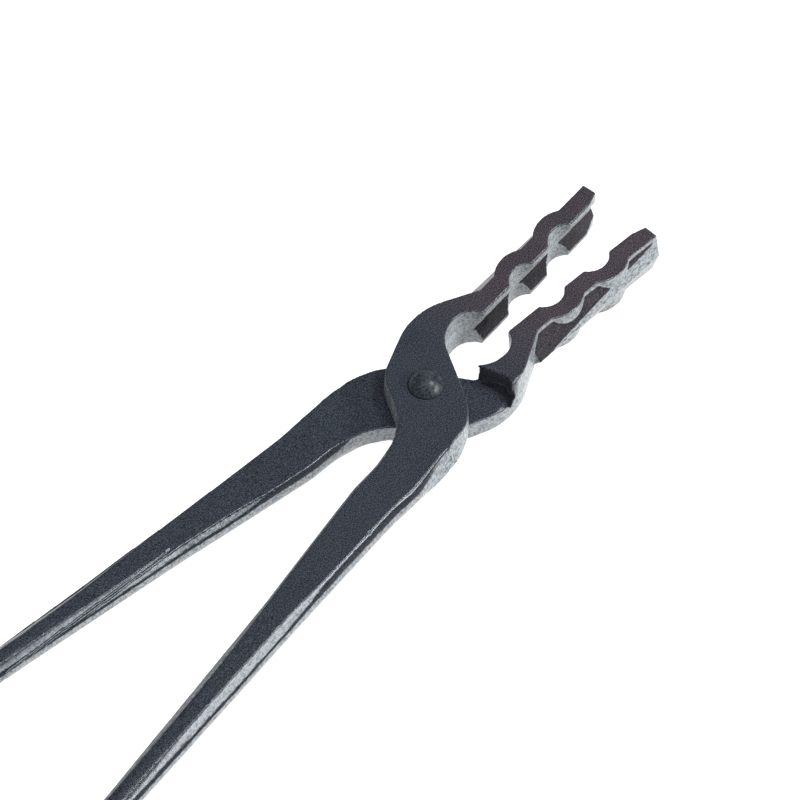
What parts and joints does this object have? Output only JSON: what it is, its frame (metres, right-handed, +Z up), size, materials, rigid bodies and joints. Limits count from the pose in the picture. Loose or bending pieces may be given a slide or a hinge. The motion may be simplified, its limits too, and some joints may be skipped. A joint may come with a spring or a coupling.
{
  "type": "blacksmith tongs",
  "caption": "Forged hand tongs with notched, V-grooved jaws and long round reins, turning on a single domed rivet, for holding hot bar and flat stock.",
  "frame": {"origin": "on the rivet's axis, at the flat underside of its lower head, which is the lowest point of the tongs lying flat", "axes": "+X along the centre line between the jaws to the jaw tips, +Y towards the upper half's jaw, +Z up along the rivet to its domed head; the reins run back along -X"},
  "size_m": [0.3969, 0.1052, 0.0268],
  "materials": {
    "forged_steel": "dark forge-black surface with a fine matte grain and slightly burnished edges",
    "rivet_steel": "dark hammered steel, a little smoother than the forgings"
  },
  "bodies": {
    "lower": {"lower_half": "forged_steel", "rivet": "rivet_steel"},
    "upper": {"upper_half": "forged_steel"}
  },
  "joints": [
    {"name": "pivot", "type": "hinge", "parent": "lower", "child": "upper", "pos_m": [0, 0, 0.01275], "axis": [0, 0, 1], "range_deg": [-11, 55]}
  ]
}
